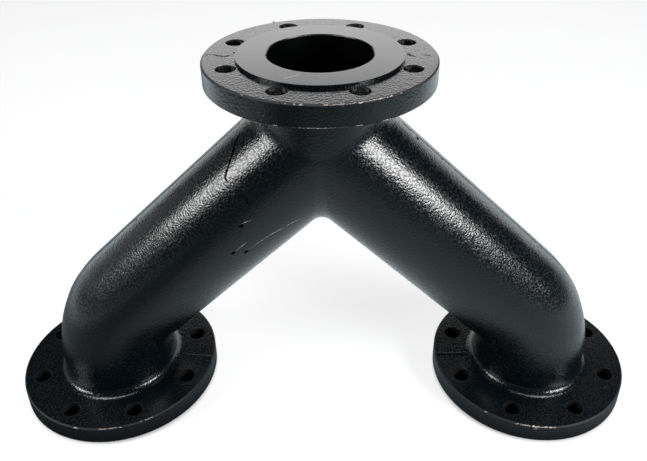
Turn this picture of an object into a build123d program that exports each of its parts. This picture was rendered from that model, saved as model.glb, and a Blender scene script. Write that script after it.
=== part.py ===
from build123d import *
import math
import os

# Flanged twin-leg wye: one iron casting that splits one pipeline into two.
#
# The fitting stands on its two outlet flanges. Its origin is on the plane of their
# faces, straight below the inlet. +Z runs up along the inlet's axis, and +X runs
# along the line of the two outlets. Lengths are in millimetres, angles in degrees.

# Flanges: all three are faced and drilled alike.
flange_diameter = 220.0
flange_thickness = 22.0
flange_edge_bevel = 1.5
bolt_hole_diameter = 19.0
bolt_hole_count = 8
bolt_hole_inset = 20.0
raised_face_height = 3.0
raised_face_edge_bevel = 0.5
raised_face_to_holes = 1.5

# Body: round tube with one bore and one wall from end to end.
bore_diameter = 100.0
wall_thickness = 12.5
overall_height = 406.0
outlet_spacing = 485.0
branch_point_depth = 83.0
outlet_bend_radius = 108.0
outlet_bend_height = 46.0

# Rounding left by the pattern outside and by the core inside.
hub_fillet_radius = 9.0
crotch_radius = 14.0
shoulder_radius = 30.0
core_crotch_radius = 8.0
core_shoulder_radius = 20.0
bore_mouth_bevel = 1.0

# What follows from the sizes above.
flange_depth = flange_thickness + raised_face_height
rim_radius = flange_diameter / 2
bolt_circle_radius = rim_radius - bolt_hole_inset
raised_face_radius = bolt_circle_radius - bolt_hole_diameter / 2 - raised_face_to_holes
bore_radius = bore_diameter / 2
tube_radius = bore_radius + wall_thickness
outlet_offset = outlet_spacing / 2
branch_point_height = overall_height - branch_point_depth

# A straight leg leaves the branch point and touches the circle of its outlet bend.
bend_centre_across = outlet_offset - outlet_bend_radius
bend_centre_below = branch_point_height - outlet_bend_height
bend_centre_distance = math.hypot(bend_centre_across, bend_centre_below)
straight_leg_length = math.sqrt(bend_centre_distance**2 - outlet_bend_radius**2)
leg_angle = math.degrees(
    math.atan2(bend_centre_across, bend_centre_below)
    + math.asin(outlet_bend_radius / bend_centre_distance)
)


def leg_route(side):
    """Centreline from the branch point down one leg to its outlet face.

    side is 1 for the leg towards +X and -1 for the leg towards -X.
    """
    straight = PolarLine((0, branch_point_height), straight_leg_length, side * leg_angle - 90)
    bend = JernArc(straight @ 1, straight % 1, outlet_bend_radius, -side * leg_angle)
    outlet = Line(bend @ 1, (side * outlet_offset, 0))
    return Plane.XZ * Curve([straight, bend, outlet])


def leg_rod(side, radius):
    """Solid round rod along one leg, its seam along the upper side."""
    route = leg_route(side)
    downhill = route % 0
    out_of_upper_side = Vector(-side * downhill.Z, 0, side * downhill.X)
    start = Plane(origin=route @ 0, x_dir=out_of_upper_side, z_dir=downhill)
    return sweep(start * Circle(radius), path=route)


def inlet_rod(radius):
    """Solid round rod from the branch point up to the inlet face, its seam at the back."""
    start = Plane(origin=(0, 0, branch_point_height), x_dir=(0, 1, 0), z_dir=(0, 0, 1))
    return extrude(start * Circle(radius), branch_point_depth)


def three_way_rod(radius, crotch_rounding, shoulder_rounding):
    """The two legs and the inlet as one solid rod, rounded where they run together.

    The crotch is the crease between the legs, and the shoulders are the creases
    between the inlet and each leg.
    """
    rod = leg_rod(-1, radius) + leg_rod(1, radius) + inlet_rod(radius)
    creases = rod.edges().filter_by(GeomType.ELLIPSE)
    crotch = creases.filter_by(lambda edge: edge.center().Z < branch_point_height)
    rod = rod.fillet(crotch_rounding, crotch)
    creases = rod.edges().filter_by(GeomType.ELLIPSE)
    shoulders = creases.filter_by(lambda edge: edge.center().Z > branch_point_height)
    return rod.fillet(shoulder_rounding, shoulders)


def flange_blank():
    """One flange before boring and drilling, its raised face down on z = 0."""
    outline = Polyline(
        (0, 0),
        (raised_face_radius, 0),
        (raised_face_radius, raised_face_height),
        (rim_radius, raised_face_height),
        (rim_radius, flange_depth),
        (0, flange_depth),
        close=True,
    )
    profile = make_face(outline)
    rim_corners = profile.vertices().filter_by(lambda corner: corner.X > raised_face_radius + 1)
    profile = chamfer(rim_corners, flange_edge_bevel)
    face_corner = profile.vertices().sort_by_distance((raised_face_radius, 0))[0]
    profile = chamfer(face_corner, raised_face_edge_bevel)
    return revolve(Plane.XZ * profile, Axis.Z)


def bolt_holes():
    """The drilling of one flange, set so that the holes straddle both centrelines."""
    places = PolarLocations(bolt_circle_radius, bolt_hole_count, 180 / bolt_hole_count)
    drill = Cylinder(bolt_hole_diameter / 2, 3 * flange_depth)
    return [place * drill for place in places]


def flange_places():
    """Where the three flanges sit: the two outlets, then the inlet turned face up."""
    return [
        Pos(-outlet_offset, 0, 0),
        Pos(outlet_offset, 0, 0),
        Pos(0, 0, overall_height) * Rot(180, 0, 0),
    ]


def level_rings(shape, radius, *heights):
    """The level circular edges of a shape that have this radius, at any of the heights."""
    return [
        edge
        for edge in shape.edges().filter_by(GeomType.CIRCLE)
        if abs(edge.radius - radius) < 0.01
        and edge.bounding_box().size.Z < 0.01
        and min(abs(edge.arc_center.Z - height) for height in heights) < 0.01
    ]


def wye_casting():
    """The whole casting: hollow twin legs with three hubs and three drilled flanges."""
    casting = three_way_rod(tube_radius, crotch_radius, shoulder_radius)
    for place in flange_places():
        casting += place * flange_blank()
    hubs = level_rings(casting, tube_radius, flange_depth, overall_height - flange_depth)
    casting = casting.fillet(hub_fillet_radius, hubs)
    casting -= three_way_rod(bore_radius, core_crotch_radius, core_shoulder_radius)
    mouths = level_rings(casting, bore_radius, 0, overall_height)
    casting = casting.chamfer(bore_mouth_bevel, None, mouths)
    for place in flange_places():
        casting -= [place * hole for hole in bolt_holes()]
    return casting


if __name__ == "__main__":
    os.makedirs("parts", exist_ok=True)
    export_step(wye_casting(), "parts/wye_casting.step")
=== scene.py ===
"""Painted finish and studio for a flanged wye, a cast-iron pipe fitting with two legs.

Every length is in metres in the part's own frame: the origin is on the plane of the two
outlet faces below the inlet, +Z runs up and +X runs along the two outlets.
"""

import logging
import math
import random
from dataclasses import dataclass
from enum import Enum
from typing import Any, Iterable, Optional

import bmesh
import bpy
from mathutils import Matrix, Vector


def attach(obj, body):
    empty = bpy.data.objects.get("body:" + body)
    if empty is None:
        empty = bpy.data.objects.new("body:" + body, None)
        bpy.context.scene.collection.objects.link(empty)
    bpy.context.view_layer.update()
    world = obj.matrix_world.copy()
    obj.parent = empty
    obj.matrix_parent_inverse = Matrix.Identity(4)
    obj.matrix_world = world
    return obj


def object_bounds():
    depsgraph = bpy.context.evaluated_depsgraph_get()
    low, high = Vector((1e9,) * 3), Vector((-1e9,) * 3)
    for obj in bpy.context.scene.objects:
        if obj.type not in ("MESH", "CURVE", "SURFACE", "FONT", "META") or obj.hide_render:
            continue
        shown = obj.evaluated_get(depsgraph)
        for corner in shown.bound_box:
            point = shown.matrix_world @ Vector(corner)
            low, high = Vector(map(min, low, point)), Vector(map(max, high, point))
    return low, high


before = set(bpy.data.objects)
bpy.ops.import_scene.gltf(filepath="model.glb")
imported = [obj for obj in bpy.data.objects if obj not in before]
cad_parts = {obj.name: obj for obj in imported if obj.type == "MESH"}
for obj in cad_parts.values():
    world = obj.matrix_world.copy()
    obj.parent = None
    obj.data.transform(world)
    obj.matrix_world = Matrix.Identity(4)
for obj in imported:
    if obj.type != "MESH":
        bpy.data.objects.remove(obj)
CAD_BOX = [list(corner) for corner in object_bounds()]

log = logging.getLogger("wye")
CASTING_NODE = "wye_casting"
BODY = "root"
MM = 0.001

# Where the casting's main features are, and how far pieces stay inside its box.
OUTLET_OFFSET = 242.5 * MM
BRANCH_HEIGHT = 323.0 * MM
BOX_MARGIN = 0.02 * MM

Socket = bpy.types.NodeSocket
Triple = tuple[float, float, float]
WHITE = (1.0, 1.0, 1.0, 1.0)


# ---------------------------------------------------------------- shared helpers


def linear(hex_colour: str) -> tuple[float, float, float, float]:
    """Turn an sRGB colour into the linear values that shaders take.

    Args:
        hex_colour: Six hex digits, with or without a leading hash.

    Returns:
        Linear red, green, blue and an alpha of 1.
    """
    digits = hex_colour.lstrip("#")
    parts = [int(digits[i:i + 2], 16) / 255 for i in (0, 2, 4)]
    flat = [c / 12.92 if c <= 0.04045 else ((c + 0.055) / 1.055) ** 2.4 for c in parts]
    return (flat[0], flat[1], flat[2], 1.0)


def per_size(size_mm: float) -> float:
    """Texture scale whose features are about size_mm across on Object coordinates."""
    return 1.0 / (size_mm * MM)


@dataclass
class NodeSheet:
    """A material's node tree, with one way to add a node to it."""

    material: bpy.types.Material

    def add(self, kind: str, links: Optional[dict[Any, Any]] = None,
            **settings: Any) -> bpy.types.Node:
        """Add one node with its settings and links.

        Args:
            kind: The node's type name in Blender.
            links: Input name or index to a value, or to an output socket to link from.
            settings: Properties set on the node itself before its inputs.

        Returns:
            The new node.
        """
        tree = self.material.node_tree
        node = tree.nodes.new(kind)
        for name, value in settings.items():
            setattr(node, name, value)
        for name, value in (links or {}).items():
            socket = node.inputs[name]
            if isinstance(value, bpy.types.NodeSocket):
                tree.links.new(value, socket)
            else:
                socket.default_value = value
        return node

    @classmethod
    def start(cls, name: str) -> "NodeSheet":
        """An empty node material of this name."""
        material = bpy.data.materials.new(name)
        material.use_nodes = True
        material.node_tree.nodes.clear()
        return cls(material)

    def place(self) -> Socket:
        """Object coordinates, which are metres in the part's frame."""
        return self.add("ShaderNodeTexCoord").outputs["Object"]

    def split(self, place: Socket) -> Any:
        """The X, Y and Z of a place."""
        return self.add("ShaderNodeSeparateXYZ", {0: place}).outputs

    def math(self, operation: str, *values: Any) -> Socket:
        """One sum on these values, in order."""
        return self.add("ShaderNodeMath", dict(enumerate(values)), operation=operation).outputs[0]

    def vector(self, x: Any = 0.0, y: Any = 0.0, z: Any = 0.0) -> Socket:
        """The vector with these parts."""
        return self.add("ShaderNodeCombineXYZ", {"X": x, "Y": y, "Z": z}).outputs[0]

    def length(self, vector: Socket) -> Socket:
        """The length of a vector."""
        return self.add("ShaderNodeVectorMath", {0: vector}, operation="LENGTH").outputs["Value"]

    def distance(self, place: Socket, point: Triple) -> Socket:
        """How far a place is from a fixed point."""
        apart = self.add("ShaderNodeVectorMath", {0: place, 1: point}, operation="DISTANCE")
        return apart.outputs["Value"]

    def blend(self, share: Any, start: Any, end: Any) -> Socket:
        """A number from start to end, by share."""
        return self.add("ShaderNodeMix", {0: share, 2: start, 3: end}, data_type="FLOAT").outputs[0]

    def tint(self, share: Any, start: Any, end: Any) -> Socket:
        """A colour from start to end, by share."""
        return self.add("ShaderNodeMix", {0: share, 6: start, 7: end}, data_type="RGBA").outputs[2]

    def fit(self, value: Socket, span: tuple[float, float],
            onto: tuple[float, float] = (0.0, 1.0)) -> Socket:
        """Carry a value from one span onto another, held within it."""
        return self.add("ShaderNodeMapRange", {
            "Value": value, "From Min": span[0], "From Max": span[1],
            "To Min": onto[0], "To Max": onto[1]}).outputs["Result"]

    def noise(self, place: Socket, size_mm: float, detail: float, roughness: float = 0.5) -> Socket:
        """Soft noise whose features are about size_mm across."""
        return self.add("ShaderNodeTexNoise", {
            "Vector": place, "Scale": per_size(size_mm), "Detail": detail,
            "Roughness": roughness}).outputs["Fac"]

    def bump(self, height: Socket, strength: Any, depth_mm: float,
             under: Optional[Socket] = None) -> Socket:
        """Tilt the normal by a height map depth_mm deep, over any relief under it."""
        links = {"Height": height, "Strength": strength, "Distance": depth_mm * MM}
        if under is not None:
            links["Normal"] = under
        return self.add("ShaderNodeBump", links).outputs["Normal"]


def points_mm(*places: Triple) -> tuple[Vector, ...]:
    """Points given in millimetres, as vectors in metres."""
    return tuple(Vector(place) * MM for place in places)


def new_object(name: str, build: bmesh.types.BMesh,
               material: bpy.types.Material) -> bpy.types.Object:
    """Make a smooth-shaded object at the origin from a finished bmesh.

    Args:
        name: The piece's name.
        build: The bmesh, in the part's frame. It is freed.
        material: The first material of the piece.

    Returns:
        The linked object.
    """
    mesh = bpy.data.meshes.new(name)
    build.to_mesh(mesh)
    build.free()
    mesh.materials.append(material)
    for polygon in mesh.polygons:
        polygon.use_smooth = True
    piece = bpy.data.objects.new(name, mesh)
    bpy.context.scene.collection.objects.link(piece)
    return piece


# ---------------------------------------------------------------- finishes


class Finish(Enum):
    """The finishes of the fitting, by what they are on."""

    CASTING = "casting"
    # Painted shade: dull black lines for the shade in laps, pits and under burrs.
    CRACK = "crack"
    # Real chips in the enamel, in a pale colour that also holds painted highlight.
    BARE_CHIP = "bare_chip"
    SCUFF = "scuff"


@dataclass(frozen=True)
class EnamelMasks:
    """Where the parts of the casting are: each mask is 1 on its part and 0 elsewhere."""

    place: Socket
    height: Socket
    turned: Socket
    bore_shade_mask: Socket
    flanges: Socket
    drilled: Socket
    ringed: Socket


@dataclass(frozen=True)
class CastEnamel:
    """Black alkyd enamel over sand-cast iron, with turned gasket faces and a darkened bore.

    The sand of the mould shows through the thin coat as a fine stipple that breaks every
    reflection into grain. On the turned faces the coat lies smooth. The bore is painted near
    black, as painted shade inside the pipe. The bolt holes' walls are painted near black too,
    as painted shade in the holes, and the drill left rings in them, which draw a lamp out
    into an upright streak.
    The flanges' upper edges are dulled by knocks, and so catch no sharp glint.
    """

    name: str = "black_enamel_over_sand_cast_iron"
    colour: str = "#03090D"
    thin_colour: str = "#080F14"
    # Painted shade: near black for the inside of the bore and for the bolt holes' walls.
    bore_shade_colour: str = "#020303"
    hole_shade_colour: str = "#060505"
    scratch_colour: str = "#8C9193"
    refraction: float = 1.45

    # Gloss: even where the coat is smooth, speckled where sand shows through it.
    roughness: float = 0.20
    tube_gloss: tuple[float, float] = (0.15, 0.34)
    flange_gloss: tuple[float, float] = (0.15, 0.31)
    speckle_span: tuple[float, float] = (0.42, 0.62)
    edge_roughness: float = 0.7
    drilled_roughness: float = 0.6

    # Relief of the cast skin, from the finest to the widest.
    dust_mm: float = 1.3
    grain_mm: float = 2.0
    grain_depth_mm: float = 0.12
    stipple_mm: float = 2.2
    stipple_depth_mm: float = 0.14
    pock_mm: float = 6.5
    pock_depth_mm: float = 0.16
    sweep_mm: float = 38.0
    sweep_depth_mm: float = 0.35
    drill_ring_mm: float = 0.9
    drill_ring_depth_mm: float = 0.11
    turned_strength: float = 0.12
    flange_strength: float = 0.9
    flange_waves: float = 0.12

    # Where each part of the casting is.
    face_within: float = 0.6 * MM
    inlet_flange_from: float = 380.5 * MM
    outlet_flange_to: float = 26.5 * MM
    upper_edges_at: tuple[float, float] = (402.2 * MM, 24.2 * MM)
    edge_within: float = 0.78 * MM
    bore_radius: float = 50.8 * MM
    crotch_steepness: float = 0.7246
    middle_of_wall: float = 56.0 * MM
    bolt_circle: float = 90.0 * MM
    bolt_count: int = 8
    bolt_hole_within: float = 9.7 * MM
    scratch_place: Triple = (-23.0 * MM, -59.2 * MM, 406.0 * MM)
    scratch_turn: float = 36.9
    scratch_half: Triple = (8.5 * MM, 0.6 * MM, 1.0)

    def beyond(self, sheet: NodeSheet, height: Socket, above: float, below: float) -> Socket:
        """Mark what is above one height or below another."""
        return sheet.math("MAXIMUM", sheet.math("GREATER_THAN", height, above),
                          sheet.math("LESS_THAN", height, below))

    def turned_faces(self, sheet: NodeSheet, height: Socket) -> Socket:
        """Mark the three gasket faces, which are the highest and the lowest planes."""
        low, high = CAD_BOX[0][2], CAD_BOX[1][2]
        return self.beyond(sheet, height, high - self.face_within, low + self.face_within)

    def bore_shade_region(self, sheet: NodeSheet, place: Socket) -> Socket:
        """Mark the inside of the inlet, from the mouth down to the inner crotch.

        Args:
            sheet: The material's nodes.
            place: Object coordinates.

        Returns:
            1 in the bore, where the colour is darkened as painted shade, 0 elsewhere.
        """
        parts = sheet.split(place)
        level = sheet.add("ShaderNodeVectorMath", {0: place, 1: (1.0, 1.0, 0.0)},
                          operation="MULTIPLY")
        inside = sheet.math("LESS_THAN", sheet.length(level.outputs[0]), self.bore_radius)
        below = sheet.math("SUBTRACT", parts["Z"], BRANCH_HEIGHT)
        below = sheet.math("MINIMUM", below, 0.0)
        below = sheet.math("MULTIPLY", below, self.crotch_steepness)
        arch = sheet.length(sheet.vector(y=parts["Y"], z=below))
        above = sheet.math("LESS_THAN", arch, self.middle_of_wall)
        return sheet.math("MULTIPLY", inside, above)

    def drilled_walls(self, sheet: NodeSheet, place: Socket, flanges: Socket) -> Socket:
        """Mark the walls of the bolt holes in all three flanges.

        The left and right outlet are folded together, then all the holes of a flange.

        Args:
            sheet: The material's nodes.
            place: Object coordinates.
            flanges: 1 on a flange, 0 on the tube.

        Returns:
            1 on a drilled wall, 0 elsewhere.
        """
        parts = sheet.split(place)
        low = sheet.math("LESS_THAN", parts["Z"], self.outlet_flange_to)
        aside = sheet.math("SUBTRACT", sheet.math("ABSOLUTE", parts["X"]), OUTLET_OFFSET)
        across = sheet.blend(low, parts["X"], aside)
        reach = sheet.length(sheet.vector(across, parts["Y"]))
        step = math.tau / self.bolt_count
        turn = sheet.math("ARCTAN2", parts["Y"], across)
        turn = sheet.math("FLOORED_MODULO", turn, step)
        turn = sheet.math("SUBTRACT", turn, step / 2)
        folded = sheet.vector(sheet.math("COSINE", turn), sheet.math("SINE", turn))
        folded = sheet.add("ShaderNodeVectorMath", {0: folded, "Scale": reach}, operation="SCALE")
        gap = sheet.distance(folded.outputs[0], (self.bolt_circle, 0.0, 0.0))
        near = sheet.math("LESS_THAN", gap, self.bolt_hole_within)
        return sheet.math("MULTIPLY", near, flanges)

    def face_scratch(self, sheet: NodeSheet, masks: EnamelMasks) -> Socket:
        """Mark the one light scratch on the inlet's gasket face, a long thin ellipse."""
        turn = (0.0, 0.0, math.radians(self.scratch_turn))
        local = sheet.add("ShaderNodeMapping", {
            "Vector": masks.place, "Location": self.scratch_place, "Rotation": turn,
            "Scale": self.scratch_half}, vector_type="TEXTURE")
        near = sheet.math("LESS_THAN", sheet.length(local.outputs[0]), 1.0)
        return sheet.math("MULTIPLY", near, masks.turned)

    def masks(self, sheet: NodeSheet) -> EnamelMasks:
        """Work out where the parts of the casting are."""
        place = sheet.place()
        height = sheet.split(place)["Z"]
        flanges = self.beyond(sheet, height, self.inlet_flange_from, self.outlet_flange_to)
        drilled = self.drilled_walls(sheet, place, flanges)
        # Only the inlet's holes let light in from below to show the drill's rings.
        high = sheet.math("GREATER_THAN", height, self.inlet_flange_from)
        return EnamelMasks(
            place=place, height=height, turned=self.turned_faces(sheet, height),
            bore_shade_mask=self.bore_shade_region(sheet, place), flanges=flanges, drilled=drilled,
            ringed=sheet.math("MULTIPLY", drilled, high))

    def relief(self, sheet: NodeSheet, masks: EnamelMasks, grain: Socket, pocks: Socket) -> Socket:
        """The skin's normal, from the widest waves to the drill's rings.

        Args:
            sheet: The material's nodes.
            masks: Where the parts of the casting are.
            grain: The fine noise of the sand.
            pocks: The coarser noise of the mould.

        Returns:
            The normal.
        """
        sandy = sheet.fit(masks.flanges, (0.0, 1.0), (1.0, self.flange_strength))
        sandy = sheet.blend(masks.turned, sandy, self.turned_strength)
        # A flange lay flat in the mould, so it has the grain of the sand but not the waves.
        waves = sheet.fit(masks.flanges, (0.0, 1.0), (1.0, self.flange_waves))
        waves = sheet.blend(masks.turned, waves, self.turned_strength)
        sweep = sheet.noise(masks.place, self.sweep_mm, 1.0)
        stipple = sheet.add("ShaderNodeTexVoronoi", {
            "Vector": masks.place, "Scale": per_size(self.stipple_mm)}, feature="F1")
        normal = sheet.bump(sweep, waves, self.sweep_depth_mm)
        normal = sheet.bump(pocks, waves, self.pock_depth_mm, normal)
        normal = sheet.bump(grain, sandy, self.grain_depth_mm, normal)
        normal = sheet.bump(stipple.outputs["Distance"], sandy, self.stipple_depth_mm, normal)
        rings = sheet.math("MULTIPLY", masks.height, math.tau / (self.drill_ring_mm * MM))
        rings = sheet.math("SINE", rings)
        return sheet.bump(rings, masks.ringed, self.drill_ring_depth_mm, normal)

    def coat(self, sheet: NodeSheet, masks: EnamelMasks, pocks: Socket) -> Socket:
        """The colour: the coat thins over high spots, and the bore and holes are darker, as painted
        shade.
        """
        coat = sheet.tint(pocks, linear(self.colour), linear(self.thin_colour))
        # Painted shade: the bore and the bolt holes' walls are darkened near black.
        coat = sheet.tint(masks.bore_shade_mask, coat, linear(self.bore_shade_colour))
        coat = sheet.tint(masks.drilled, coat, linear(self.hole_shade_colour))
        return sheet.tint(self.face_scratch(sheet, masks), coat, linear(self.scratch_colour))

    def gloss(self, sheet: NodeSheet, masks: EnamelMasks, grain: Socket) -> Socket:
        """The roughness of each part of the casting.

        Args:
            sheet: The material's nodes.
            masks: Where the parts of the casting are.
            grain: The fine noise of the sand.

        Returns:
            The roughness.
        """
        tube = sheet.fit(grain, self.speckle_span, self.tube_gloss)
        dust = sheet.noise(masks.place, self.dust_mm, 1.0)
        flange = sheet.fit(dust, self.speckle_span, self.flange_gloss)
        outside = sheet.math("SUBTRACT", 1.0, masks.bore_shade_mask)
        sandy = sheet.math("SUBTRACT", masks.flanges, masks.turned)
        sandy = sheet.math("MULTIPLY", sandy, outside)
        gloss = sheet.blend(sandy, tube, flange)
        smooth = sheet.math("MAXIMUM", masks.turned, masks.bore_shade_mask)
        gloss = sheet.blend(smooth, gloss, self.roughness)
        edges = [sheet.math("COMPARE", masks.height, at, self.edge_within)
                 for at in self.upper_edges_at]
        dulled = sheet.math("MULTIPLY", sheet.math("MAXIMUM", *edges), outside)
        gloss = sheet.blend(dulled, gloss, self.edge_roughness)
        deep = sheet.math("SUBTRACT", masks.drilled, masks.ringed)
        return sheet.blend(deep, gloss, self.drilled_roughness)

    def make(self) -> bpy.types.Material:
        """Build the enamel's node material."""
        sheet = NodeSheet.start(self.name)
        masks = self.masks(sheet)
        grain = sheet.noise(masks.place, self.grain_mm, 1.0)
        pocks = sheet.noise(masks.place, self.pock_mm, 3.0, 0.55)
        skin = sheet.add("ShaderNodeBsdfPrincipled", {
            "Base Color": self.coat(sheet, masks, pocks),
            "Roughness": self.gloss(sheet, masks, grain),
            "IOR": self.refraction,
            "Normal": self.relief(sheet, masks, grain, pocks)})
        sheet.add("ShaderNodeOutputMaterial", {"Surface": skin.outputs["BSDF"]})
        return sheet.material


@dataclass(frozen=True)
class SmallMark:
    """A dull or pale finish for the small marks in the enamel."""

    name: str
    colour: str
    dark_colour: str
    roughness: float
    mottle_mm: float
    specular: float = 0.5
    mottle_span: tuple[float, float] = (0.35, 0.6)
    relief_strength: float = 0.6
    relief_mm: float = 0.2

    def make(self) -> bpy.types.Material:
        """Build the mark's node material: two tones, mottled."""
        sheet = NodeSheet.start(self.name)
        mottle = sheet.noise(sheet.place(), self.mottle_mm, 3.0, 0.7)
        share = sheet.fit(mottle, self.mottle_span)
        skin = sheet.add("ShaderNodeBsdfPrincipled", {
            "Base Color": sheet.tint(share, linear(self.dark_colour), linear(self.colour)),
            "Roughness": self.roughness,
            "Specular IOR Level": self.specular,
            "Normal": sheet.bump(mottle, self.relief_strength, self.relief_mm)})
        sheet.add("ShaderNodeOutputMaterial", {"Surface": skin.outputs["BSDF"]})
        return sheet.material


def make_finishes() -> dict[Finish, bpy.types.Material]:
    """Make each finish once."""
    # Laps, pits and the dark under burrs are drawn as raised lines of dull black with no
    # reflection: painted shade standing in for the shade in them.
    lap_shade = SmallMark("painted_shade_in_laps_and_pits", "#030404", "#010101", 0.9, 2.0, specular=0.0)
    # Where the enamel is knocked off an edge the iron shows; its pale colour is as bright as the
    # lit chips look, so it is partly painted highlight.
    chip_glint = SmallMark("chipped_iron_with_painted_highlight", "#E2D6CF", "#8F8480", 0.45, 1.2)
    # A rub leaves a dull grey line that stays on top of the gloss.
    rub = SmallMark("grey_rub_in_enamel", "#8C9193", "#55595B", 0.6, 3.0)
    return {
        Finish.CASTING: CastEnamel().make(),
        Finish.CRACK: lap_shade.make(),
        Finish.BARE_CHIP: chip_glint.make(),
        Finish.SCUFF: rub.make(),
    }


# ---------------------------------------------------------------- the casting


@dataclass(frozen=True)
class LegRoute:
    """The run of one leg, to say where along and around it a mark lies."""

    side: int
    bend_radius: float = 108.0 * MM
    bend_height: float = 46.0 * MM
    tube_radius: float = 62.5 * MM

    @property
    def bend_across(self) -> float:
        """Distance of the bend's centre from the inlet's axis."""
        return OUTLET_OFFSET - self.bend_radius

    @property
    def bend_below(self) -> float:
        """Distance of the bend's centre below the branch point."""
        return BRANCH_HEIGHT - self.bend_height

    @property
    def lean(self) -> float:
        """The straight run's angle from upright."""
        reach = math.hypot(self.bend_across, self.bend_below)
        return math.atan2(self.bend_across, self.bend_below) + math.asin(self.bend_radius / reach)

    @property
    def straight_length(self) -> float:
        """Length of the straight run, from the branch point to the bend."""
        return math.sqrt(self.bend_across ** 2 + self.bend_below ** 2 - self.bend_radius ** 2)

    def skin_point(self, along_mm: float, around: float) -> Vector:
        """A point on the straight run's skin.

        Args:
            along_mm: Distance from the branch point.
            around: Degrees from the upper side, through the front.

        Returns:
            The point, in metres.
        """
        downhill = Vector((self.side * math.sin(self.lean), 0.0, -math.cos(self.lean)))
        upward = Vector((self.side * math.cos(self.lean), 0.0, math.sin(self.lean)))
        turn = math.radians(around)
        out = upward * math.cos(turn) + Vector((0.0, -1.0, 0.0)) * math.sin(turn)
        start = Vector((0.0, 0.0, BRANCH_HEIGHT))
        return start + downhill * along_mm * MM + out * self.tube_radius

    def skin_line(self, *marks: tuple[float, float]) -> tuple[Vector, ...]:
        """Skin points, each from its distance along and its angle around."""
        return tuple(self.skin_point(*mark) for mark in marks)

    def bend_point(self, turn: float, outer: bool) -> Vector:
        """A point on the bend's outer or inner side.

        Args:
            turn: Degrees above the level through the bend's centre.
            outer: True for the outer side.

        Returns:
            The point, in metres.
        """
        radius = self.bend_radius + (self.tube_radius if outer else -self.tube_radius)
        across = self.bend_across + radius * math.cos(math.radians(turn))
        height = self.bend_height + radius * math.sin(math.radians(turn))
        return Vector((self.side * across, 0.0, height))


@dataclass(frozen=True)
class Flange:
    """One flange's rim, to place marks on it."""

    centre: float
    upper: float
    lower: float
    radius: float = 110.0 * MM
    bevel: float = 1.5 * MM
    sunk: float = 0.2 * MM

    def edge_frame(self, angle: float, edge_is_upper: bool, drop: float) -> Matrix:
        """A frame on the rim's bevelled edge, or on the rim beyond it.

        Args:
            angle: Degrees round the flange from +X.
            edge_is_upper: True for the upper edge.
            drop: Distance along the rim, away from the edge.

        Returns:
            A matrix whose X runs along the edge, Y across it and Z out of it.
        """
        turn = math.radians(angle)
        out = Vector((math.cos(turn), math.sin(turn), 0.0))
        along = Vector((-math.sin(turn), math.cos(turn), 0.0))
        sense = 1.0 if edge_is_upper else -1.0
        on_bevel = drop == 0.0
        normal = (out + Vector((0.0, 0.0, sense))).normalized() if on_bevel else out
        radius = self.radius - (self.bevel / 2 if on_bevel else self.sunk)
        edge = self.upper if edge_is_upper else self.lower
        place = Vector((self.centre, 0.0, edge - sense * (self.bevel / 2 + drop))) + out * radius
        turned = Matrix((along, normal.cross(along), normal)).transposed().to_4x4()
        turned.translation = place
        return turned


INLET = Flange(0.0, 403.0 * MM, 381.0 * MM)
LEFT_OUTLET = Flange(-OUTLET_OFFSET, 25.0 * MM, 3.0 * MM)
RIGHT_OUTLET = Flange(OUTLET_OFFSET, 25.0 * MM, 3.0 * MM)


@dataclass
class Skin:
    """The casting's surface, to lay small marks on."""

    node: bpy.types.Object

    def drop(self, point: Vector) -> tuple[Vector, Vector]:
        """The surface point nearest to a point, and its normal."""
        _, place, normal, _ = self.node.closest_point_on_mesh(point)
        return place, normal

    def frame_at(self, point: Vector, sunk: float = 0.0) -> Matrix:
        """A frame on the surface nearest to a point, its Z out of the surface."""
        place, normal = self.drop(point)
        turned = normal.to_track_quat("Z", "Y").to_matrix().to_4x4()
        turned.translation = place - normal * sunk
        return turned


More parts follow.
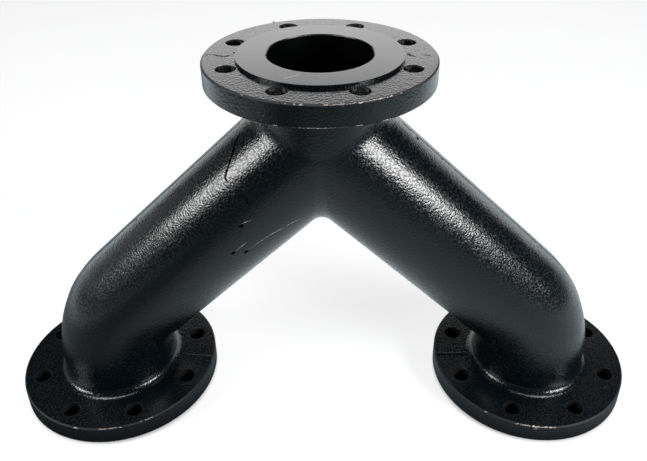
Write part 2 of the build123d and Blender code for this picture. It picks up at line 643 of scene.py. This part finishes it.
@dataclass(frozen=True)
class Bead:
    """A low rounded line that follows the casting's skin. Its sizes are in millimetres."""

    points: tuple[Vector, ...]
    width: float
    height: float
    wobble: float = 0.0
    taper: float = 4.0
    step: float = 2.0
    thinnest: float = 0.25
    sides: int = 8

    def path(self, draw: random.Random) -> list[Vector]:
        """Divide the line into even steps, with a little wander."""
        out = []
        for start, end in zip(self.points, self.points[1:]):
            count = max(1, round((end - start).length / (self.step * MM)))
            out += [start.lerp(end, i / count) for i in range(count)]
        out.append(self.points[-1])
        wobble = self.wobble * MM
        return [p + Vector([draw.uniform(-wobble, wobble) for _ in range(3)]) for p in out]

    def sections(self, skin: Skin, draw: random.Random) -> list[Matrix]:
        """Set the line's section at each step on the skin, thinner towards both ends.

        Args:
            skin: The surface that the line lies on.
            draw: The source of the wander.

        Returns:
            A frame for each step: across and out of the skin, sized, then ahead.
        """
        width, height = self.width * MM, self.height * MM
        laid = [skin.drop(p) for p in self.path(draw)]
        places = [place for place, _ in laid]
        reach = [0.0]
        for start, end in zip(places, places[1:]):
            reach.append(reach[-1] + (end - start).length)
        sections = []
        for i, (place, normal) in enumerate(laid):
            ahead = places[min(i + 1, len(places) - 1)] - places[max(i - 1, 0)]
            ahead.normalize()
            across = normal.cross(ahead).normalized()
            near_end = min(reach[i], reach[-1] - reach[i]) / (self.taper * MM)
            size = max(self.thinnest, min(1.0, near_end))
            columns = (across * width / 2 * size, normal * height * size, ahead)
            section = Matrix(columns).transposed().to_4x4()
            section.translation = place
            sections.append(section)
        return sections

    def build_into(self, build: bmesh.types.BMesh, skin: Skin, draw: random.Random) -> None:
        """Draw a half-buried rounded section along the line and close its ends.

        Args:
            build: The mesh to add to.
            skin: The surface that the line lies on.
            draw: The source of the wander.
        """
        sections = self.sections(skin, draw)
        made = bmesh.ops.create_circle(build, cap_ends=True, segments=self.sides, radius=1.0,
                                       matrix=sections[0])
        cap = made["verts"][0].link_faces[0]
        for before, after in zip(sections, sections[1:]):
            grown = bmesh.ops.extrude_face_region(build, geom=[cap])["geom"]
            verts = [item for item in grown if isinstance(item, bmesh.types.BMVert)]
            cap = [item for item in grown if isinstance(item, bmesh.types.BMFace)][0]
            bmesh.ops.transform(build, matrix=after @ before.inverted(), verts=verts)


@dataclass(frozen=True)
class ChipRun:
    """A run of small chips along one edge of a flange. Angles are in degrees, sizes in mm."""

    flange: Flange
    start: float
    end: float
    size_mm: float
    cover: float = 1.0
    edge_is_upper: bool = True
    drop_mm: float = 0.0

    # Shares of the size, save for the turn in radians and the thickness.
    spacing: float = 0.6
    lengths: tuple[float, ...] = (0.25, 0.35, 0.5, 0.9)
    widths: tuple[float, float] = (0.2, 0.55)
    off_line: float = 0.4
    uneven: float = 0.12
    turn: float = 0.6
    thickness: float = 0.16 * MM

    def build_into(self, build: bmesh.types.BMesh, draw: random.Random) -> None:
        """Lay small uneven flakes along the edge.

        Args:
            build: The mesh to add to.
            draw: The source of their places and sizes.
        """
        size = self.size_mm * MM
        span = math.radians(abs(self.end - self.start)) * self.flange.radius
        count = max(1, round(span / (size * self.spacing)))
        for i in range(count):
            if draw.random() > self.cover:
                continue
            angle = self.start + (self.end - self.start) * (i + draw.uniform(0.0, 1.0)) / count
            place = self.flange.edge_frame(angle, self.edge_is_upper, self.drop_mm * MM)
            shift = draw.uniform(-self.off_line, self.off_line) * size
            place = place @ Matrix.Translation((0.0, shift, 0.0))
            place = place @ Matrix.Rotation(draw.uniform(-self.turn, self.turn), 4, "Z")
            length = size * draw.choice(self.lengths)
            width = size * draw.uniform(*self.widths)
            shape = Matrix.Diagonal((length, width, self.thickness, 1.0))
            made = bmesh.ops.create_icosphere(build, subdivisions=2, radius=1.0,
                                              matrix=place @ shape)
            for vert in made["verts"]:
                jolt = [draw.uniform(-self.uneven, self.uneven) * size for _ in range(2)]
                vert.co += Vector(jolt + [0.0])


EDGE_CHIPS = (
    ChipRun(INLET, -125.6, -124.4, 0.8, 0.8),
    ChipRun(INLET, -104.1, -103.4, 0.9),
    ChipRun(INLET, -100.4, -99.6, 0.9),
    ChipRun(INLET, -97.5, -96.5, 1.1),
    ChipRun(INLET, -87.9, -78.7, 0.8, 0.9),
    ChipRun(INLET, -79.9, -79.1, 0.9, drop_mm=1.5),
    ChipRun(INLET, -77.8, -72.3, 0.9, 0.85),
    ChipRun(INLET, -72.5, -71.5, 1.6),
    ChipRun(INLET, -71, -63.7, 0.9, 0.85),
    ChipRun(INLET, -63.5, -61.5, 1.4),
    ChipRun(INLET, -61, -59, 0.9, 0.8),
    ChipRun(INLET, -57.3, -56.2, 1.8),
    ChipRun(INLET, -52.1, -51.4, 0.8),
    ChipRun(INLET, -109.8, -107.5, 1.4, edge_is_upper=False),
    ChipRun(INLET, -98, -83, 0.5, 0.5, edge_is_upper=False),
    ChipRun(INLET, -94.4, -93.6, 0.9, edge_is_upper=False),
    ChipRun(INLET, -73.8, -71, 1.3, edge_is_upper=False),
    ChipRun(INLET, -61.5, -57.2, 1.8, edge_is_upper=False),
    ChipRun(RIGHT_OUTLET, -126.8, -125.5, 1.0),
    ChipRun(RIGHT_OUTLET, -108.8, -107.5, 1.3),
    ChipRun(RIGHT_OUTLET, -106.5, -101, 1.0, 0.9),
    ChipRun(RIGHT_OUTLET, -99.5, -95.5, 1.7),
    ChipRun(RIGHT_OUTLET, -98.4, -96.6, 1.5, drop_mm=1.8),
    ChipRun(RIGHT_OUTLET, -98, -97.2, 1.4, drop_mm=3.8),
    ChipRun(RIGHT_OUTLET, -95, -91, 1.2, 0.95),
    ChipRun(RIGHT_OUTLET, -90.5, -88.2, 1.4),
    ChipRun(RIGHT_OUTLET, -87.8, -86.5, 1.0, 0.9),
    ChipRun(LEFT_OUTLET, -103.5, -100.2, 1.1, 0.9),
    ChipRun(LEFT_OUTLET, -88.8, -83.2, 0.7, 0.8),
    ChipRun(LEFT_OUTLET, -82.8, -78.5, 0.9, 0.85),
    ChipRun(LEFT_OUTLET, -77.2, -76.3, 1.5),
    ChipRun(LEFT_OUTLET, -65.6, -64.9, 0.8),
    ChipRun(LEFT_OUTLET, -63, -59, 0.7, 0.8),
    ChipRun(LEFT_OUTLET, -58.9, -58.1, 1.1),
)


@dataclass(frozen=True)
class Burr:
    """A small lump that the mould left. Its spread and height are in millimetres."""

    point: Vector
    spread: float
    height: float
    narrowness: float = 0.6
    uneven: float = 0.06

    def build_into(self, build: bmesh.types.BMesh, skin: Skin, draw: random.Random) -> None:
        """Set an uneven dome on the skin.

        Args:
            build: The mesh to add to.
            skin: The surface that it stands on.
            draw: The source of its unevenness.
        """
        spread, height = self.spread * MM, self.height * MM
        shape = Matrix.Diagonal((spread, spread * self.narrowness, height, 1.0))
        made = bmesh.ops.create_icosphere(build, subdivisions=3, radius=1.0,
                                          matrix=skin.frame_at(self.point) @ shape)
        for vert in made["verts"]:
            jolt = [draw.uniform(-self.uneven, self.uneven) * spread for _ in range(3)]
            vert.co += Vector(jolt)


@dataclass(frozen=True)
class RingMark:
    """A small raised ring with a dot in it, as an ejector leaves."""

    point_mm: Triple = (-48.0, -99.0, 387.5)
    radius: float = 3.5 * MM
    section_radius: float = 0.45 * MM
    dot_radius: float = 0.7 * MM
    sunk: float = 0.2 * MM
    section_sides: int = 8
    steps: int = 32

    def build_into(self, build: bmesh.types.BMesh, skin: Skin) -> None:
        """Turn a round section about the skin's normal and add the dot.

        Args:
            build: The mesh to add to.
            skin: The surface that it stands on.
        """
        section = Matrix.Translation((self.radius, 0.0, 0.0))
        section = section @ Matrix.Rotation(math.radians(90), 4, "X")
        made = bmesh.ops.create_circle(build, segments=self.section_sides,
                                       radius=self.section_radius, matrix=section)
        bmesh.ops.spin(build, geom=made["verts"] + list(build.edges), cent=(0, 0, 0),
                       axis=(0, 0, 1), angle=math.tau, steps=self.steps, use_merge=True)
        bmesh.ops.remove_doubles(build, verts=build.verts, dist=0.01 * MM)
        bmesh.ops.create_icosphere(build, subdivisions=2, radius=self.dot_radius)
        turned = skin.frame_at(Vector(self.point_mm) * MM, self.sunk)
        bmesh.ops.transform(build, matrix=turned, verts=build.verts)


@dataclass
class Casting:
    """The painted casting, with the traces of its mould and the marks of handling."""

    finishes: dict[Finish, bpy.types.Material]
    seed: int = 7

    def finish_piece(self, name: str, build: bmesh.types.BMesh, finish: Finish) -> None:
        """Turn a mesh into a piece that rides on the casting, inside the casting's box.

        Args:
            name: The piece's name.
            build: Its mesh.
            finish: Its finish.
        """
        bmesh.ops.recalc_face_normals(build, faces=build.faces)
        for vert in build.verts:
            for axis in range(3):
                low, high = CAD_BOX[0][axis] + BOX_MARGIN, CAD_BOX[1][axis] - BOX_MARGIN
                vert.co[axis] = min(max(vert.co[axis], low), high)
        piece = new_object(name, build, self.finishes[finish])
        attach(piece, BODY)
        log.info("%s: %d faces", name, len(piece.data.polygons))

    def paint(self) -> Skin:
        """Give the part's own casting its enamel."""
        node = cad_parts[CASTING_NODE]
        node.data.materials.clear()
        node.data.materials.append(self.finishes[Finish.CASTING])
        log.info("%s: %d faces", CASTING_NODE, len(node.data.polygons))
        return Skin(node)

    def beads(self, name: str, beads: Iterable[Bead], finish: Finish, skin: Skin) -> None:
        """Build one piece from several beads."""
        draw = random.Random(self.seed)
        build = bmesh.new()
        for bead in beads:
            bead.build_into(build, skin, draw)
        self.finish_piece(name, build, finish)

    def leg_seams(self, skin: Skin) -> None:
        """Build the mould seam along the upper and lower side of each leg."""
        beads = []
        for side in (-1, 1):
            leg = LegRoute(side)
            lean = math.degrees(leg.lean)
            end = leg.straight_length / MM
            upper = list(leg.skin_line((48, 0), (end, 0)))
            upper += [leg.bend_point(lean * k / 6, True) for k in (5, 4, 3, 2, 1, 0)]
            upper.append(Vector((side * (OUTLET_OFFSET + leg.tube_radius), 0.0, 35.0 * MM)))
            lower = list(leg.skin_line((75, 180), (end, 180)))
            lower += [leg.bend_point(lean * k / 4, False) for k in (3, 2, 1, 0)]
            beads.append(Bead(tuple(upper), 1.7, 0.35, wobble=0.15))
            beads.append(Bead(tuple(lower), 1.5, 0.30, wobble=0.15))
        self.beads("leg_mould_seams", beads, Finish.CASTING, skin)

    def flange_seams(self, skin: Skin) -> None:
        """Build the mould seam across the flanges and down the rims that face each other."""
        inlet_left = points_mm((-101, 2.2, 403), (-95, -0.6, 403), (-88.2, -3.4, 403),
                               (-84.4, -0.8, 403), (-82.4, 2.4, 403))
        inlet_right = points_mm((80.8, 7.6, 403), (84, 1.8, 403), (88.7, -7.0, 403))
        right_outlet = points_mm((134, -0.6, 25), (169, -0.6, 25))
        left_outlet = points_mm((-133, -2.2, 25), (-141, -3.6, 25), (-170, -0.5, 25))
        beads = [
            Bead(inlet_left, 1.5, 0.45, wobble=0.1),
            Bead(inlet_right, 1.4, 0.40, wobble=0.1),
            Bead(right_outlet, 1.4, 0.4),
            Bead(left_outlet, 1.2, 0.3),
        ]
        short_of_edge = 1.8
        for flange, way in ((INLET, -1), (INLET, 1), (LEFT_OUTLET, 1), (RIGHT_OUTLET, -1)):
            x = (flange.centre + way * (flange.radius - 0.3 * MM)) / MM
            low, high = flange.lower / MM + short_of_edge, flange.upper / MM - short_of_edge
            beads.append(Bead(points_mm((x, 0.4, low), (x, -0.4, high)), 1.6, 0.2, wobble=0.1))
        self.beads("flange_mould_seams", beads, Finish.CASTING, skin)

    def shaded_laps_and_pits(self, skin: Skin) -> None:
        """Build the laps and pits in the skin, on the flanges and on the left leg, in dull black as
        painted shade.
        """
        inlet_left = points_mm((-108.9, -1.4, 402.8), (-105, 0.8, 403), (-101.2, 2.2, 403))
        inlet_right = points_mm((93.5, 0.2, 403), (99, -1.6, 403), (105.3, -3.0, 403))
        right_outlet = points_mm((133.2, -2.4, 25), (150, -2.6, 25), (171, -1.8, 25))
        left_outlet = points_mm((-133.4, -4.0, 25), (-136, -2.6, 25), (-140.5, -2.8, 25))
        leg = LegRoute(-1)
        hook = leg.skin_line((50, 19), (55, 21), (61, 26), (64, 31), (70, 35), (75, 39),
                             (80, 42), (84, 45), (84, 48), (81, 50))
        squiggle = leg.skin_line((83, 65), (80, 68), (77, 69), (79, 73), (82, 78))
        self.beads("laps_and_pits_painted_shade", [
            Bead(inlet_left, 1.5, 0.18, wobble=0.1),
            Bead(points_mm((-80.9, 4.2, 403), (-80.6, 7.8, 403)), 1.8, 0.2, taper=1.5),
            Bead(points_mm((80.2, 2.8, 403), (84.3, -3.4, 403)), 2.0, 0.2, taper=1.5),
            Bead(inlet_right, 0.9, 0.12),
            Bead(right_outlet, 2.3, 0.18),
            Bead(left_outlet, 2.1, 0.18, taper=1.5),
            Bead(points_mm((-163.5, -2.4, 25), (-170.5, -1.6, 25)), 2.0, 0.18, taper=2.0),
            Bead(hook, 2.4, 0.22, wobble=0.6, taper=6.0),
            Bead(squiggle, 0.8, 0.12, wobble=0.3),
            Bead(leg.skin_line((105.5, 87), (100.2, 88)), 3.6, 0.2, taper=2.0),
            Bead(leg.skin_line((136, 103), (130.5, 103)), 3.2, 0.2, taper=2.0),
            Bead(leg.skin_line((127.5, 111), (122, 112)), 3.2, 0.2, taper=2.0),
        ], Finish.CRACK, skin)

    def scuffs(self, skin: Skin) -> None:
        """Build the grey rubs on the left leg."""
        leg = LegRoute(-1)
        long_rub = leg.skin_line((122, 112), (110, 112), (95, 114), (83, 117), (71, 120),
                                 (62, 124), (53, 128))
        self.beads("rubs_in_enamel", [
            Bead(long_rub, 0.9, 0.12, wobble=0.2, taper=15.0),
            Bead(leg.skin_line((131, 103), (125, 103), (114, 103)), 0.8, 0.1),
            Bead(leg.skin_line((101, 86), (97, 87), (92, 89)), 0.8, 0.1),
        ], Finish.SCUFF, skin)

    def chips(self) -> None:
        """Build the chips along the flanges' edges."""
        draw = random.Random(self.seed)
        build = bmesh.new()
        for run in EDGE_CHIPS:
            run.build_into(build, draw)
        self.finish_piece("edge_chips", build, Finish.BARE_CHIP)

    def burrs(self, skin: Skin) -> None:
        """Build the small spike on the inlet's rim and the lumps on top of the legs."""
        left, right = LegRoute(-1), LegRoute(1)
        draw = random.Random(self.seed)
        build = bmesh.new()
        for burr in (Burr(Vector((-50.5, 97.3, 402.6)) * MM, 1.4, 1.8),
                     Burr(left.skin_point(212, 4), 2.0, 0.4),
                     Burr(right.skin_point(72, 4), 3.2, 0.9),
                     Burr(right.skin_point(108, 2), 2.2, 0.7)):
            burr.build_into(build, skin, draw)
        self.finish_piece("mould_burrs", build, Finish.CASTING)

    def ring_mark(self, skin: Skin) -> None:
        """Build the small raised ring on the inlet's rim."""
        build = bmesh.new()
        RingMark().build_into(build, skin)
        self.finish_piece("rim_ring_mark", build, Finish.CASTING)

    def build(self) -> None:
        """Build and dress everything, in order."""
        skin = self.paint()
        self.leg_seams(skin)
        self.flange_seams(skin)
        self.shaded_laps_and_pits(skin)
        self.scuffs(skin)
        self.chips()
        self.burrs(skin)
        self.ring_mark(skin)


# ---------------------------------------------------------------- studio


@dataclass(frozen=True)
class Softbox:
    """One rectangular studio lamp, aimed at a point."""

    name: str
    place: Triple
    aim: Triple
    width: float
    height: float
    watts: float
    only_mirrored: bool = False

    def build(self) -> None:
        """Hang the lamp."""
        lamp = bpy.data.lights.new(self.name, "AREA")
        lamp.shape = "RECTANGLE"
        lamp.size = self.width
        lamp.size_y = self.height
        lamp.energy = self.watts
        holder = bpy.data.objects.new(self.name, lamp)
        holder.location = self.place
        aim = Vector(self.aim) - Vector(self.place)
        holder.rotation_euler = aim.to_track_quat("-Z", "Y").to_euler()
        holder.visible_diffuse = not self.only_mirrored
        bpy.context.scene.collection.objects.link(holder)


LAMPS = (
    # The two softboxes draw the bright streak down each leg.
    Softbox("left_softbox", (-1.51, -0.55, 0.82), (-0.12, -0.04, 0.27), 0.70, 0.40, 17.5),
    Softbox("right_softbox", (1.36, -0.92, 0.78), (0.12, -0.05, 0.27), 0.74, 0.42, 31.0),
    # A wide dim panel greys the outer side of the left leg.
    Softbox("left_fill", (-2.0, -0.1, 0.45), (0.0, -0.05, 0.25), 2.5, 0.8, 2.7),
    # The rear panel lights up the inlet's face, and the overhead one the lower hub fillets.
    Softbox("rear_panel", (0.35, 2.0, 1.13), (0.35, 0.0, 1.13), 2.6, 0.46, 9.8),
    Softbox("overhead_panel", (0.0, 0.12, 1.85), (0.0, 0.12, 0.0), 2.2, 0.55, 49.0, True),
)


@dataclass(frozen=True)
class MirroredTable:
    """What the enamel mirrors of the table: bright, shaded on the left, dark beyond.

    Each span is the pair of distances between which the glow goes from one level to the next.
    """

    side_fade: tuple[float, float] = (0.93, 1.05)
    behind_span: tuple[float, float] = (0.55, 0.95)
    front_fade: tuple[float, float] = (-0.92, -0.72)
    depth_span: tuple[float, float] = (-0.6, 0.15)
    depth_glow: tuple[float, float] = (0.60, 1.05)
    edge_span: tuple[float, float] = (0.55, 0.9)
    edge_boost: float = 1.5
    shade_middle: float = -0.42
    shade_span: tuple[float, float] = (0.11, 0.33)
    shade_glow: float = 0.25
    room_span: tuple[float, float] = (-0.4, 0.4)
    room_glow: tuple[float, float] = (0.09, 0.26)

    def glow(self, sheet: NodeSheet, place: Socket) -> Socket:
        """Work out the glow at each place on the table.

        Args:
            sheet: The material's nodes.
            place: Object coordinates.

        Returns:
            The strength of the glow that reflections show.
        """
        parts = sheet.split(place)
        across, ahead = parts["X"], parts["Y"]
        aside = sheet.math("ABSOLUTE", across)
        sides = sheet.fit(aside, self.side_fade, (1.0, 0.0))
        sides = sheet.math("MAXIMUM", sides, sheet.fit(ahead, self.behind_span))
        table = sheet.math("MULTIPLY", sides, sheet.fit(ahead, self.front_fade))
        shade = sheet.math("ABSOLUTE", sheet.math("SUBTRACT", across, self.shade_middle))
        shade = sheet.fit(shade, self.shade_span, (self.shade_glow, 1.0))
        lit = sheet.math("MULTIPLY", sheet.fit(ahead, self.depth_span, self.depth_glow), shade)
        boost = sheet.fit(aside, self.edge_span, (1.0, self.edge_boost))
        lit = sheet.math("MULTIPLY", lit, boost)
        return sheet.blend(table, sheet.fit(across, self.room_span, self.room_glow), lit)


@dataclass
class Studio:
    """Pale floor, white backdrop, soft lamps and the camera."""

    floor_half: float = 6.0
    paper_colour: str = "#B3B4B5"
    seen_glow: float = 0.78
    table_tint: str = "#EFFBFF"
    # Reach of the painted shadow on the paper under the outlet flanges, from an outlet's centre.
    foot_inside: float = 103.0 * MM
    foot_outside: float = 112.0 * MM
    foot_shadow_outside: float = 165.0 * MM
    backdrop_distance: float = 2.6
    backdrop_height: float = 1.1
    backdrop_left: float = -3.4
    backdrop_right: float = 4.6
    backdrop_glow: tuple[float, float] = (0.9, 1.9)
    room_colour: str = "#F4F6F8"
    room_strength: float = 0.03
    lens: float = 38.17
    sensor_width: float = 36.0
    clip: tuple[float, float] = (0.01, 50.0)
    camera_place: Triple = (0.0139, -0.6043, 0.6291)
    camera_pitch: float = 30.357
    camera_yaw: float = -0.29
    shift: tuple[float, float] = (-0.0233, -0.0873)

    def clear_of_feet(self, sheet: NodeSheet, place: Socket, outside: float) -> Socket:
        """Paint the flanges' shadow on the paper: fade its glow out under the two outlet flanges,
        where no light gets in.

        Args:
            sheet: The material's nodes.
            place: Object coordinates.
            outside: Distance from an outlet's centre at which the glow is full again.

        Returns:
            0 under a flange, 1 in the open.
        """
        folded = sheet.add("ShaderNodeVectorMath", {0: place}, operation="ABSOLUTE")
        reach = sheet.distance(folded.outputs[0], (OUTLET_OFFSET, 0.0, 0.0))
        return sheet.fit(reach, (self.foot_inside, outside))

    def paper(self, sheet: NodeSheet, outside_painted_shadow: Any, mirrored: Socket,
              tint: tuple[float, float, float, float]) -> bpy.types.Material:
        """Matt white paper that shows as white to the eye, with its own level in reflections.

        Args:
            sheet: The material's nodes.
            outside_painted_shadow: Share of the glow that the eye sees; it is 0 in the painted
                shadow under the flanges.
            mirrored: Strength of the glow that reflections show.
            tint: Colour of the glow that reflections show.

        Returns:
            The material.
        """
        ray = sheet.add("ShaderNodeLightPath").outputs
        white = sheet.add("ShaderNodeBsdfDiffuse", {"Color": linear(self.paper_colour)})
        shown = sheet.math("MAXIMUM", ray["Is Camera Ray"], ray["Is Transmission Ray"])
        glow = sheet.math("MULTIPLY", shown, self.seen_glow)
        glow = sheet.math("MULTIPLY", glow, outside_painted_shadow)
        shine = sheet.add("ShaderNodeEmission", {"Color": WHITE, "Strength": glow})
        lit = sheet.add("ShaderNodeAddShader", {0: white.outputs[0], 1: shine.outputs[0]})
        image = sheet.add("ShaderNodeEmission", {"Color": tint, "Strength": mirrored})
        both = sheet.add("ShaderNodeMixShader", {
            0: ray["Is Glossy Ray"], 1: lit.outputs[0], 2: image.outputs[0]})
        sheet.add("ShaderNodeOutputMaterial", {"Surface": both.outputs[0]})
        return sheet.material

    def floor(self) -> None:
        """Lay the floor, which is the table that the fitting stands on."""
        sheet = NodeSheet.start("matt_white_table")
        place = sheet.place()
        # Painted shadow: the paper's glow, seen and mirrored, fades under and around the outlet
        # flanges.
        shadow = self.clear_of_feet(sheet, place, self.foot_shadow_outside)
        mirrored = sheet.math("MULTIPLY", MirroredTable().glow(sheet, place), shadow)
        outside_painted_shadow = self.clear_of_feet(sheet, place, self.foot_outside)
        paper = self.paper(sheet, outside_painted_shadow, mirrored, linear(self.table_tint))
        build = bmesh.new()
        bmesh.ops.create_grid(build, x_segments=1, y_segments=1, size=self.floor_half)
        new_object("floor", build, paper)

    def backdrop(self) -> None:
        """Stand the backdrop behind the floor. Reflections show it dimmer to the left."""
        sheet = NodeSheet.start("matt_white_backdrop")
        across = sheet.split(sheet.place())["X"]
        mirrored = sheet.fit(across, (self.backdrop_left, 0.0), self.backdrop_glow)
        paper = self.paper(sheet, 1.0, mirrored, WHITE)
        build = bmesh.new()
        bmesh.ops.create_grid(build, x_segments=1, y_segments=1, size=0.5)
        middle = (self.backdrop_left + self.backdrop_right) / 2
        width = self.backdrop_right - self.backdrop_left
        stand = Matrix.Translation((middle, self.backdrop_distance, self.backdrop_height / 2))
        stand = stand @ Matrix.Rotation(math.radians(90), 4, "X")
        stand = stand @ Matrix.Diagonal((width, self.backdrop_height, 1.0, 1.0))
        bmesh.ops.transform(build, matrix=stand, verts=build.verts)
        new_object("backdrop", build, paper)

    def surroundings(self) -> None:
        """A dim grey room above the set."""
        world = bpy.data.worlds.new("dim_room")
        world.use_nodes = True
        back = world.node_tree.nodes["Background"]
        back.inputs["Color"].default_value = linear(self.room_colour)
        back.inputs["Strength"].default_value = self.room_strength
        bpy.context.scene.world = world

    def camera(self) -> None:
        """Set up the camera, looking down on the fitting from the front."""
        data = bpy.data.cameras.new("camera")
        data.lens = self.lens
        data.sensor_width = self.sensor_width
        data.shift_x, data.shift_y = self.shift
        data.clip_start, data.clip_end = self.clip
        camera = bpy.data.objects.new("camera", data)
        camera.location = self.camera_place
        tilt, yaw = math.radians(90 - self.camera_pitch), math.radians(self.camera_yaw)
        camera.rotation_euler = (tilt, 0.0, yaw)
        bpy.context.scene.collection.objects.link(camera)
        bpy.context.scene.camera = camera

    def build(self) -> None:
        """Build the whole set."""
        self.floor()
        self.backdrop()
        for lamp in LAMPS:
            lamp.build()
        self.surroundings()
        self.camera()
        bpy.context.scene.view_settings.view_transform = "Standard"


def main() -> None:
    """Build the painted fitting and its studio."""
    logging.basicConfig(level=logging.INFO, format="%(name)s: %(message)s")
    Studio().build()
    Casting(make_finishes()).build()
    bpy.context.view_layer.update()


if __name__ == "__main__":
    main()
